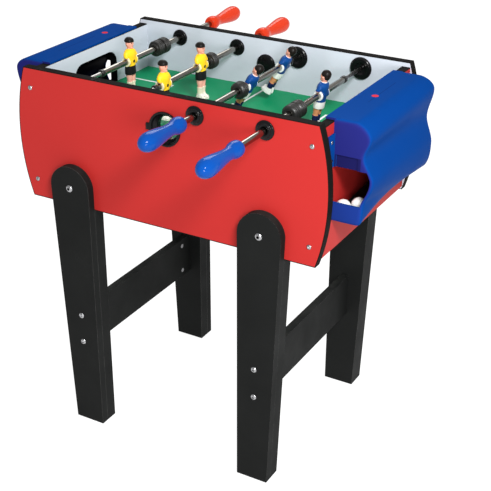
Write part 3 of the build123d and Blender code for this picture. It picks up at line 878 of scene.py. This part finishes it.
# end covers: moulded shells, drawn for the right end; the left one is the same turned half round
shellLook = {
    "back": 330.0, "topZ": 794.0, "topX": 368.0, "half": 157.0, "wall": 4.0, "rim": 8.0, "rimSteps": 6,
    "flatSteps": 5, "lipX": 311.0, "lipZ": 790.0, "lipInset": 3.0, "lipLap": 2.0, "lipDrop": 0.02,
    "outletZ": (632.0, 703.0), "outletRim": 5.5, "outletY": (-3.0, 9.0),
    "recess": (336.0, 379.0, 700.0, 727.0, 2.5), "tab": (24.0, 3.0, 703.0, 767.0), "ease": 0.9,
    "easeTurn": 38.0, "sharp": 40.0, "deep": 0.7, "deepEdge": 0.5,
}
# shoulder, waist, belly, lower belly and floor of the skin, at the outlet's end and at the closed end
outletEnd = ((402, 764), (391, 729), (410, 684), (396, 645), (380, 592))
closedEnd = ((401.5, 770), (390.5, 713.5), (404, 658), (395.5, 609), (341, 598))
skinRun = ((1, 0), (0, -1), (0, -1), (0, -1), (-0.5, -0.87), (-1, 0))


def coverOutline(y, inset, back):
    look = shellLook
    share = (y + look["half"]) / (2 * look["half"])
    skin = [
        (a[0] + (b[0] - a[0]) * share - inset, a[1] + (b[1] - a[1]) * share)
        for a, b in zip(outletEnd, closedEnd)
    ]
    skin[-1] = (skin[-1][0], skin[-1][1] + inset)
    top = (look["topX"] - inset, look["topZ"] - inset)
    curve = smoothCurve([top] + skin, skinRun)
    endX, endZ = curve[-1]
    flat = look["flatSteps"]
    over = [(back + (top[0] - back) * k / flat, top[1]) for k in range(flat)]
    under = [(endX + (back - endX) * (k + 1) / flat, endZ) for k in range(flat)]
    return [(x, y, z) for x, z in over + curve + under]


def coverSolid(name, sections):
    bm = bmesh.new()
    skinOver(bm, [[bm.verts.new(point) for point in section] for section in sections])
    bmesh.ops.recalc_face_normals(bm, faces=bm.faces)
    return linked(name, plainMesh(bm, name))


def boxTool(name, *spans):
    bm = bmesh.new()
    bmesh.ops.create_cube(bm, size=1)
    bmesh.ops.scale(bm, vec=[high - low for low, high in spans], verts=bm.verts)
    bmesh.ops.translate(bm, vec=[(low + high) / 2 for low, high in spans], verts=bm.verts)
    return linked(name, plainMesh(bm, name))


def carve(target, tool, operation):
    modifier = target.modifiers.new(tool.name, "BOOLEAN")
    modifier.object = tool
    modifier.operation = operation
    modifier.solver = "EXACT"
    mesh = appliedMesh(target)
    target.modifiers.remove(modifier)
    target.data = mesh
    bpy.data.objects.remove(tool)


def coverMesh():
    look = shellLook
    half, rim, wall, back = pick(look, "half rim wall back")
    turns = [math.pi / 2 * k / look["rimSteps"] for k in range(look["rimSteps"] + 1)]
    steps = [(rim * (1 - math.cos(a)), rim * (1 - math.sin(a))) for a in turns]
    near = [coverOutline(s - half, inset, back) for s, inset in steps]
    lengthwise = [coverOutline(half * k / 4, 0, back) for k in (-2, 0, 2)]
    far = [coverOutline(half - s, inset, back) for s, inset in reversed(steps)]
    shell = coverSolid("coverBody", near + lengthwise + far)
    corners = [v.co for v in shell.data.vertices]
    outer = BVHTree.FromPolygons(corners, [p.vertices for p in shell.data.polygons])
    inner = half - wall
    hollow = coverSolid("coverHollow", [coverOutline(inner * k / 4, wall, back - 6) for k in range(-4, 5)])
    carve(shell, hollow, "DIFFERENCE")
    outlet = [coverOutline(y - half, look["outletRim"], back - 5) for y in look["outletY"]]
    window = coverSolid("coverWindow", outlet)
    carve(window, boxTool("windowBand", (back - 1, 500), (-200, -100), look["outletZ"]), "INTERSECT")
    carve(shell, window, "DIFFERENCE")
    x0, x1, z0, z1, depth = look["recess"]
    carve(shell, boxTool("coverRecess", (x0, x1), (-half - 5, depth - half), (z0, z1)), "DIFFERENCE")
    reach, tabT, tabLow, tabHigh = look["tab"]
    for side in (-1, 1):
        tabY = sorted((side * inner, side * (half + reach)))
        carve(shell, boxTool("coverTab", (back, back + tabT), tabY, (tabLow, tabHigh)), "UNION")
    lipEnd = half - look["lipInset"]
    lipZ = (look["lipZ"], look["topZ"] - look["lipDrop"])
    lip = boxTool("coverLip", (look["lipX"], back + look["lipLap"]), (-lipEnd, lipEnd), lipZ)
    carve(shell, lip, "UNION")
    ease = shell.modifiers.new("ease", "BEVEL")
    ease.width = look["ease"]
    ease.segments = 3
    ease.limit_method = "ANGLE"
    ease.angle_limit = math.radians(look["easeTurn"])
    mesh = settled(shell)
    inside = mesh.attributes.new("inside", "FLOAT", "FACE")   # painted shade on what lies well under the outer skin
    for face, item in zip(mesh.polygons, inside.data):
        deep = outer.find_nearest(face.center)[3] > look["deep"] * wall and face.center.x > back
        item.value = 1.0 if deep and abs(face.center.y) < inner + look["deepEdge"] else 0.0
    return mesh


rightCover = coverMesh()
for side, mesh, turn in (("right", rightCover, 0), ("left", rightCover.copy(), math.pi)):
    node = side + "_end_cover"
    place = Matrix.Rotation(turn, 4, "Z")
    setDown(node + "_moulded", mesh, place, "blue_cover", "cabinet", [node], shellLook["sharp"])
print("covers moulded")


# bolts and screws: domed heads with a socket, a shank, and a nut where there is one
def boltTree():
    inputs = {
        "Geometry": None, "Head Radius": 5.0, "Head Height": 2.5, "Socket Radius": 2.0,
        "Socket Depth": 1.5, "Socket Sides": 6, "Shank Radius": 2.0, "Shank Length": 20.0,
        "Nut Radius": 0.0, "Nut Height": 0.0, "Nut Depth": 2.0, "Material": None,
    }
    tree, start, end = newGroup("domedBolts", "GeometryNodeTree", inputs, {"Geometry": "Geometry"})
    radius, height = start["Head Radius"], start["Head Height"]

    def cylinder(sides, radius, depth, z):
        body = geometry(tree, "MeshCylinder", {"Vertices": sides, "Radius": radius, "Depth": depth}, "Mesh")
        return geometry(tree, "Transform", {"Geometry": body, "Translation": joinUp(tree, Z=z)})

    def cut(body, tool):
        meshes = {"Mesh 1": body, "Mesh 2": tool}
        return geometry(tree, "MeshBoolean", meshes, "Mesh", operation="DIFFERENCE", solver="EXACT")

    ball = geometry(tree, "MeshUVSphere", {"Segments": 32, "Rings": 20, "Radius": 1.0}, "Mesh")
    size = joinUp(tree, X=radius, Y=radius, Z=height)
    dome = geometry(tree, "Transform", {"Geometry": ball, "Scale": size})
    below = cylinder(32, times(tree, radius, 2.0), times(tree, height, 2.0), times(tree, height, -1.0))
    dome = cut(dome, below)
    socketDepth = times(tree, start["Socket Depth"], 2.0)
    dome = cut(dome, cylinder(start["Socket Sides"], start["Socket Radius"], socketDepth, height))
    length = start["Shank Length"]
    shank = cylinder(24, start["Shank Radius"], length, times(tree, length, -0.5))
    nut = cylinder(6, start["Nut Radius"], start["Nut Height"], times(tree, start["Nut Depth"], -1.0))
    joined = addNode(tree, "GeometryNodeJoinGeometry")
    for part in (dome, shank, nut):
        feed(tree, joined.inputs["Geometry"], part)
    facing = geometry(
        tree, "InputNamedAttribute", {"Name": "facing"}, "Attribute", data_type="FLOAT_VECTOR",
    )
    aim = addNode(tree, "FunctionNodeAlignRotationToVector", {"Vector": facing}, axis="Z")
    instance = {"Instance": joined.outputs["Geometry"], "Rotation": aim.outputs["Rotation"]}
    return setOnPoints(tree, start, end, instance)


bolts = boltTree()
boltLabels = ("Head Radius", "Head Height", "Socket Radius", "Socket Sides", "Shank Radius", "Shank Length")
boltLook = {
    "leg_bolts": (8.0, 4.3, 3.4, 6, 3.9, 45.0), "stretcher_bolts": (6.5, 3.5, 2.7, 6, 2.9, 92.0),
    "panel_screws": (5.0, 2.7, 1.9, 4, 1.9, 56.0), "cover_screws": (3.8, 2.05, 1.5, 4, 1.9, 14.0),
}
nutLook = {"leg_bolts": {"Nut Radius": 7.5, "Nut Height": 6.5, "Nut Depth": 39.3}}
boltShare = {"socketDepth": 0.7, "sharp": 30.0}


def addBolts(node):
    # head seats from the node's box: near and far sides, or the two ends for the cover screws
    low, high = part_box(node)
    look = dict(zip(boltLabels, boltLook[node])) | nutLook.get(node, {})
    head, rise = look["Head Radius"], look["Head Height"]
    heights = sorted({round(low.z / mm + head, 2), round(high.z / mm - head, 2)})
    onEnds = node == "cover_screws"
    outer, across = (high.x, high.y) if onEnds else (high.y, high.x)
    seat, reach = outer / mm - rise, across / mm - head
    spots, facings = [], []
    for side, other, z in product((-1, 1), (-1, 1), heights):
        spot, facing = [side * seat, other * reach], [side, 0]
        if not onEnds:
            spot.reverse()
            facing.reverse()
        spots.append((*spot, z))
        facings.append((*facing, 0))
    values = look | {"Socket Depth": boltShare["socketDepth"] * rise}
    growPiece(
        node + "_turned", bolts, values, spots, facings, Matrix.Identity(4), "plated_steel", "cabinet",
        [node], boltShare["sharp"],
    )


for name in boltLook:
    addBolts(name)
print("bolts and screws set")


# players: soft moulded figures, facing +X, measured from the rod
skin = (0.74, 0.33, 0.24, 1)
playerLook = {
    "voxel": 0.55, "smooth": 3, "hem": {"yellow": -9.0, "blue": -13.5}, "hubRadius": 10.2,
    "hubLength": 31.0, "hubSides": 40, "sharp": 80.0,
    "yellow": {
        "face": skin, "hair": (0.008, 0.007, 0.006, 1), "shirt": (0.95, 0.58, 0.02, 1),
        "collar": (0.95, 0.58, 0.02, 1), "arms": skin, "waist": (0.86, 0.78, 0.5, 1),
        "shorts": (0.01, 0.01, 0.011, 1), "legs": (0.82, 0.4, 0.31, 1), "socks": (0.76, 0.7, 0.52, 1),
        "shoes": (0.76, 0.74, 0.64, 1),
    },
    "blue": {
        "face": skin, "hair": (0.009, 0.007, 0.006, 1), "shirt": (0.005, 0.05, 0.21, 1),
        "collar": (0.76, 0.77, 0.76, 1), "arms": skin, "waist": (0.76, 0.77, 0.76, 1),
        "shorts": (0.76, 0.76, 0.72, 1), "legs": (0.66, 0.27, 0.12, 1), "socks": (0.008, 0.013, 0.06, 1),
        "shoes": (0.78, 0.78, 0.75, 1),
    },
}


def ellipsoid(bm, middle, size):
    verts = bmesh.ops.create_uvsphere(bm, u_segments=32, v_segments=20, radius=1)["verts"]
    bmesh.ops.transform(bm, matrix=Matrix.Translation(middle) @ Matrix.Diagonal((*size, 1)), verts=verts)


def limb(bm, *stations):
    # stations are (x, y, z, half depth, half width), from one end to the other
    skinOver(bm, [
        [bm.verts.new((x + depth * math.cos(a), y + width * math.sin(a), z)) for a in turnsOf(28)]
        for x, y, z, depth, width in stations
    ])


def limbPair(bm, *stations):
    for side in (-1, 1):
        limb(bm, *[(x, side * y, *rest) for x, y, *rest in stations])


def ellipsoidPair(bm, middle, size):
    for side in (-1, 1):
        ellipsoid(bm, (middle[0], side * middle[1], middle[2]), size)


def figureZones(team):
    # each painted zone is drawn into its own mesh; the web that joins the legs takes its neighbours' paint
    zones = {name: bmesh.new() for name in (*playerLook[team], "web")}
    head, hair, shirt, collar, arms, waist, shorts, legs, socks, shoes, web = zones.values()
    ellipsoid(head, (0.3, 0, 37.2), (9.2, 8.2, 11.4))
    ellipsoid(head, (7.6, 0, 36.2), (2.6, 1.5, 1.9))   # nose
    ellipsoid(head, (5.4, 0, 29.2), (3.6, 4.2, 2.8))   # chin
    ellipsoidPair(head, (0.2, 8.3, 36.4), (2.0, 1.1, 2.6))   # ears
    limb(head, (-0.5, 0, 20, 5.2, 5.6), (-0.5, 0, 30, 4.8, 5.2))
    if team == "yellow":   # a flat cap of hair over a bare neck
        limb(
            hair, (-0.6, 0, 40.6, 9.8, 9.2), (-0.6, 0, 41.8, 10.7, 10.0), (-0.6, 0, 45, 10.2, 9.6),
            (-0.6, 0, 48, 8.0, 7.4), (-0.6, 0, 50, 4.8, 4.4), (-0.6, 0, 50.8, 2.0, 1.8),
        )
    else:   # hair over the back of the head
        ellipsoid(hair, (-1.4, 0, 41.6), (10.0, 9.2, 9.2))
        ellipsoid(hair, (-4.0, 0, 38.4), (6.5, 8.8, 8.4))
    limb(
        shirt, (0, 0, playerLook["hem"][team], 10.7, 13.9), (0, 0, -3, 10.4, 13.8),
        (0.4, 0, 6, 10.6, 14.8), (0.4, 0, 14, 11, 16.6), (0.2, 0, 19, 10, 17.0), (0, 0, 23, 8, 13.2),
        (-0.3, 0, 25.6, 5.8, 7.2),
    )
    limbPair(   # short sleeves
        shirt, (2.2, 16.4, 9.5, 4.9, 3.7), (1.2, 16.2, 12, 5.4, 4.1), (0, 15.0, 16, 5.4, 4.4),
        (-0.2, 12.8, 21, 4.2, 3.9),
    )
    limb(collar, (-0.2, 0, 23.6, 6.4, 7.2), (-0.2, 0, 25.9, 5.9, 6.5))
    # bare arms that end above the rod
    limbPair(arms, (2.6, 16.2, 7.2, 3.0, 2.2), (2.5, 16.4, 8.6, 3.8, 2.8), (2.0, 16.4, 12, 3.8, 2.9))
    hub = playerLook["hubRadius"]
    bmesh.ops.create_cone(
        waist, cap_ends=True, segments=playerLook["hubSides"], radius1=hub, radius2=hub,
        depth=playerLook["hubLength"], matrix=Matrix.Rotation(math.pi / 2, 4, "X"),
    )
    limb(
        shorts, (0, 0, -28.5, 10.6, 14), (0, 0, -22, 10.8, 14.2), (0, 0, -14, 10.5, 13.6),
        (0, 0, -8, 9.8, 12.8),
    )
    limbPair(
        legs, (1.2, 5.6, -48, 5.2, 4.8), (0.8, 5.8, -41, 5.6, 5.1), (0.6, 6.0, -36, 6.3, 5.5),
        (0.2, 6.2, -26, 7.4, 6.2),
    )
    limbPair(
        socks, (1.0, 5.4, -63, 5.0, 4.7), (0.2, 5.5, -56, 5.9, 5.2), (0.4, 5.6, -50, 6.1, 5.4),
        (0.9, 5.6, -45, 6.1, 5.4),
    )
    limbPair(socks, (0.9, 5.6, -47, 6.6, 5.7), (0.9, 5.6, -44.6, 6.6, 5.7))   # turned-down top
    limbPair(
        shoes, (3.0, 5.5, -71.6, 12.4, 5.3), (3.0, 5.5, -69.5, 12.7, 5.5), (2.6, 5.5, -66, 11.6, 5.4),
        (0.6, 5.4, -61.5, 8.0, 5.2), (0.2, 5.4, -58, 6.4, 5.2),
    )
    ellipsoidPair(shoes, (9.5, 5.5, -67.2), (6.0, 5.2, 4.4))
    limb(
        web, (0.6, 0, -71.4, 9.0, 4.0), (0.6, 0, -60, 5.6, 3.6), (0.6, 0, -44, 3.6, 3.0),
        (0.2, 0, -24, 5.0, 4.0),
    )
    return zones


# where paint changes on the figure, and its plain face
faceLook = {
    "eyeY": 3.3, "eyeZ": 38.6, "eyeR": 0.95, "eyeWide": 1.3, "browY": (1.6, 5.0), "browZ": 41.2,
    "browHalf": 0.5, "mouthZ": 32.3, "mouthHalf": 2.4, "lip": 0.55, "lipColour": (0.5, 0.16, 0.13, 1),
    "frontX": 3.0, "lowZ": 30.0, "screwHole": 3.5, "screwX": 7.0, "hubEnd": 13.4, "shoeTop": -59.5,
    "webTop": -30.0, "reach": 3.0,
}


def pointColour(co, trees, colours):
    look = faceLook
    hits = {name: trees[name].find_nearest(co, look["reach"]) for name in colours}
    reach = {name: hit[3] for name, hit in hits.items() if hit[0] is not None}
    if not reach:
        return colours["shorts" if co.z > look["webTop"] else "socks"]
    if co.x > look["screwX"] and math.hypot(co.y, co.z) < look["screwHole"]:
        return colours["hair"]
    zone = min(reach, key=reach.get)
    if zone == "waist" and abs(co.y) < look["hubEnd"]:
        zone = "shirt"
    if zone in ("socks", "shoes") and co.z < look["shoeTop"]:
        zone = "shoes"
    if zone == "face" and co.x > look["frontX"] and co.z > look["lowZ"]:
        wide, eyeR = abs(co.y), look["eyeR"]
        eye = abs(co.z - look["eyeZ"]) < eyeR and abs(wide - look["eyeY"]) < look["eyeWide"] * eyeR
        brow = abs(co.z - look["browZ"]) < look["browHalf"] and look["browY"][0] < wide < look["browY"][1]
        if eye or brow:
            return colours["hair"]
        if abs(co.z - look["mouthZ"]) < look["lip"] and wide < look["mouthHalf"]:
            return look["lipColour"]
    return colours[zone]


def figureMesh(team):
    # zones are fused into one skin, then each point takes the paint of the zone that it lies on
    whole = bmesh.new()
    trees = {}
    for name, bm in figureZones(team).items():
        bmesh.ops.recalc_face_normals(bm, faces=bm.faces)
        trees[name] = BVHTree.FromBMesh(bm)
        part = plainMesh(bm, name)
        whole.from_mesh(part)
        bpy.data.meshes.remove(part)
    rough = linked(team + "FigureRough", plainMesh(whole, team + "FigureRough"))
    fuse = rough.modifiers.new("fuse", "REMESH")
    fuse.mode = "VOXEL"
    fuse.voxel_size = playerLook["voxel"]
    soften = rough.modifiers.new("soften", "SMOOTH")
    soften.factor = 0.5
    soften.iterations = playerLook["smooth"]
    mesh = settled(rough)
    layer = mesh.attributes.new("paint", "FLOAT_COLOR", "POINT")
    for vertex, item in zip(mesh.vertices, layer.data):
        item.color = pointColour(vertex.co, trees, playerLook[team])
    return mesh


figures = {"yellow": figureMesh("yellow"), "blue": figureMesh("blue")}
playersOn = {
    "yellow_goal_rod": ["yellow_goalkeeper"],
    "yellow_forward_rod": ["yellow_near_forward", "yellow_far_forward"],
    "blue_forward_rod": ["blue_near_forward", "blue_far_forward"], "blue_goal_rod": ["blue_goalkeeper"],
}


def playerMiddle(rod, player):
    return sum(alongRod(rod, player)) / 2


for rod, players in playersOn.items():
    team = rod.split("_")[0]
    for player in players:
        place = rodPlace(rod)[0] @ Matrix.Translation((0, playerMiddle(rod, player) * mm, 0))
        mesh = figures[team].copy()
        setDown(player + "_figure", mesh, place, team + "_player", rod, [player], playerLook["sharp"])
print("players moulded:", {team: len(mesh.polygons) for team, mesh in figures.items()})


# the screw in each player's belly
playerScrew = {
    "seat": 9.6,
    "form": {
        "Head Radius": 2.6, "Head Height": 1.2, "Socket Radius": 1.1, "Socket Depth": 0.8,
        "Socket Sides": 4, "Shank Radius": 1.5, "Shank Length": 4.4, "Nut Depth": 1.0,
    },
}
for rod, players in playersOn.items():
    spots = [(playerScrew["seat"], playerMiddle(rod, player), 0) for player in players]
    facings = [(1, 0, 0)] * len(spots)
    growPiece(
        rod + "_belly_screws", bolts, playerScrew["form"], spots, facings, rodPlace(rod)[0],
        "dark_screw", rod, [rod + "_player_screws"], boltShare["sharp"],
    )


# balls: round, with the faint seam of the mould
ballLook = {
    "seam": 0.12, "seamWidth": 0.5, "segments": 64, "rings": 40, "sharp": 60.0,
    "tilts": {"front_ball": 35, "back_ball": 70}, "tiltAxis": (1, 0.4, 0.2),
}
for node, tilt in ballLook["tilts"].items():
    low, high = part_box(node)
    radius = (high.x - low.x) / 2 / mm
    segments, rings = pick(ballLook, "segments rings")
    bm = bmesh.new()
    bmesh.ops.create_uvsphere(bm, u_segments=segments, v_segments=rings, radius=radius)
    for vert in bm.verts:
        if abs(vert.co.z) < ballLook["seamWidth"]:
            vert.co *= 1 - ballLook["seam"] / radius
    turn = Matrix.Rotation(math.radians(tilt), 4, ballLook["tiltAxis"])
    place = Matrix.Translation((low + high) / 2) @ turn
    setTurned(node + "_round", bm, place, "white_ball", node, [node], ballLook["sharp"])
print("balls and belly screws set")


# floor, light and camera
stageLook = {
    "floor": (0.16, 0.16, 0.16), "glow": 0.96, "world": (1.0, 1.0, 1.0), "worldStrength": 0.5,
    "floorSize": 120.0, "aim": (0, 0, 0.55),
}
lampLook = {
    "key": {"place": (1.5, -1.3, 2.2), "size": 0.5, "power": 70.0},
    "front": {"place": (1.1, -1.5, 1.0), "size": 0.4, "power": 16.0},
    "back": {"place": (-1.0, 1.8, 2.6), "size": 1.6, "power": 34.0},
}
cameraLook = {
    "place": (1.12268, -1.86986, 1.49316), "yaw": 29.617, "pitch": 26.852, "roll": 0.183,
    "focal": 1122.14, "image": 491, "sensor": 36.0, "clipEnd": 50.0,
}


def addFloor():
    bm = bmesh.new()
    bmesh.ops.create_grid(bm, x_segments=2, y_segments=2, size=stageLook["floorSize"] / 2)
    finish = makeFinish(
        "paleFloor", colour=stageLook["floor"], mottle=0.02, mottleScale=2.0, rough=0.7, scuff=0.0,
        dust=0.0,
    )
    shader = finish.node_tree.nodes["Principled BSDF"]
    shader.inputs["Emission Color"].default_value = white
    shader.inputs["Emission Strength"].default_value = stageLook["glow"]
    floor = linked("floor", plainMesh(bm, "floor"))
    floor.data.materials.append(finish)


def addLamps():
    for name, look in lampLook.items():
        lamp = bpy.data.lights.new(name, "AREA")
        lamp.energy = look["power"]
        lamp.size = look["size"]
        holder = linked(name, lamp)
        holder.location = look["place"]
        aim = Vector(stageLook["aim"]) - holder.location
        holder.rotation_euler = aim.to_track_quat("-Z", "Y").to_euler()
    world = bpy.data.worlds.new("studio")
    world.use_nodes = True
    sky = world.node_tree.nodes["Background"].inputs
    sky[0].default_value = (*stageLook["world"], 1)
    sky[1].default_value = stageLook["worldStrength"]
    bpy.context.scene.world = world
    bpy.context.scene.view_settings.view_transform = "Standard"


def addCamera():
    look = cameraLook
    yaw, pitch, roll = map(math.radians, pick(look, "yaw pitch roll"))
    ahead = Vector((-math.sin(yaw) * math.cos(pitch), math.cos(yaw) * math.cos(pitch), -math.sin(pitch)))
    right = Vector((math.cos(yaw), math.sin(yaw), 0))
    up = right.cross(ahead)
    turnedRight = math.cos(roll) * right + math.sin(roll) * up
    turnedUp = math.cos(roll) * up - math.sin(roll) * right
    data = bpy.data.cameras.new("camera")
    data.sensor_fit = "HORIZONTAL"
    data.sensor_width = look["sensor"]
    data.lens = look["sensor"] * look["focal"] / look["image"]
    data.clip_end = look["clipEnd"]
    camera = linked("camera", data)
    turn = Matrix((turnedRight, turnedUp, -ahead)).transposed().to_4x4()
    camera.matrix_world = Matrix.Translation(look["place"]) @ turn
    bpy.context.scene.camera = camera


addFloor()
addLamps()
addCamera()
print("stage set")
